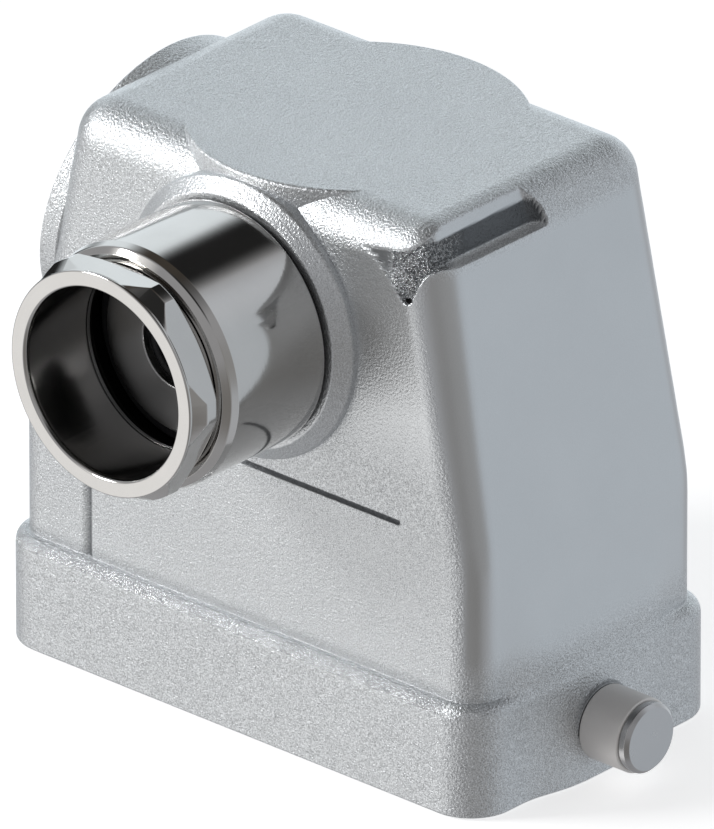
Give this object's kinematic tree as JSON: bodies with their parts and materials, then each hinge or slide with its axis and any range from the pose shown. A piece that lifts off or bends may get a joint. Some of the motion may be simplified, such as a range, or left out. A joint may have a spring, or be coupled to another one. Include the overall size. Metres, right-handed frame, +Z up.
{
  "type": "heavy duty rectangular connector hood with cable gland",
  "caption": "Die-cast rectangular connector hood with a side cable gland, two locking pegs with turning sleeves, and a screw-terminal contact insert inside.",
  "frame": {"origin": "middle of the mating face, on the axis of the top entry boss", "axes": "+X along the long side of the skirt, -Y towards the cable gland, +Z up away from the mating face"},
  "size_m": [0.0912, 0.0658, 0.0717],
  "materials": {
    "cast_aluminium": "die-cast, sandy light grey powder coat",
    "peg_steel": "turned, polished",
    "sleeve_steel": "turned, satin",
    "seal_rubber": "black, matt",
    "nickel_brass": "nickel plated, polished",
    "washer_steel": "plain, smooth",
    "insert_plastic": "moulded, fine grain",
    "silvered_brass": "silver plated, satin",
    "zinc_steel": "zinc plated"
  },
  "bodies": {
    "housing": {"hood": "cast_aluminium", "locking_peg_right": "peg_steel", "locking_peg_left": "peg_steel", "gland_gasket": "seal_rubber", "gland_body": "nickel_brass", "inner_washer": "washer_steel", "gland_seal": "seal_rubber", "outer_washer": "washer_steel", "insert_body": "insert_plastic", "contact_pins": "silvered_brass", "terminal_screws": "zinc_steel", "earth_plate_right": "silvered_brass", "earth_plate_left": "silvered_brass", "earth_screws": "zinc_steel", "fixing_washers": "zinc_steel", "fixing_screws": "zinc_steel"},
    "slip_ring": {"slip_ring": "washer_steel"},
    "pressure_screw": {"pressure_screw": "nickel_brass"},
    "sleeve_right": {"sleeve_right": "sleeve_steel"},
    "sleeve_left": {"sleeve_left": "sleeve_steel"}
  },
  "joints": [
    {"name": "screw_travel", "type": "slide", "parent": "housing", "child": "slip_ring", "axis": [0, -1, 0], "range_m": [-0.00092, 0.00302]},
    {"name": "screw_turn", "type": "hinge", "parent": "slip_ring", "child": "pressure_screw", "pos_m": [0, -0.04, 0.0532], "axis": [0, -1, 0], "range_deg": [-216, 720]},
    {"name": "sleeve_right_turn", "type": "hinge", "parent": "housing", "child": "sleeve_right", "pos_m": [0.04135, 0, 0.00624], "axis": [1, 0, 0], "continuous": true},
    {"name": "sleeve_left_turn", "type": "hinge", "parent": "housing", "child": "sleeve_left", "pos_m": [-0.04135, 0, 0.00624], "axis": [1, 0, 0], "continuous": true}
  ],
  "couplings": [
    {"joint": "screw_travel", "follows": "screw_turn", "m_per_rad": 0.00023873}
  ]
}
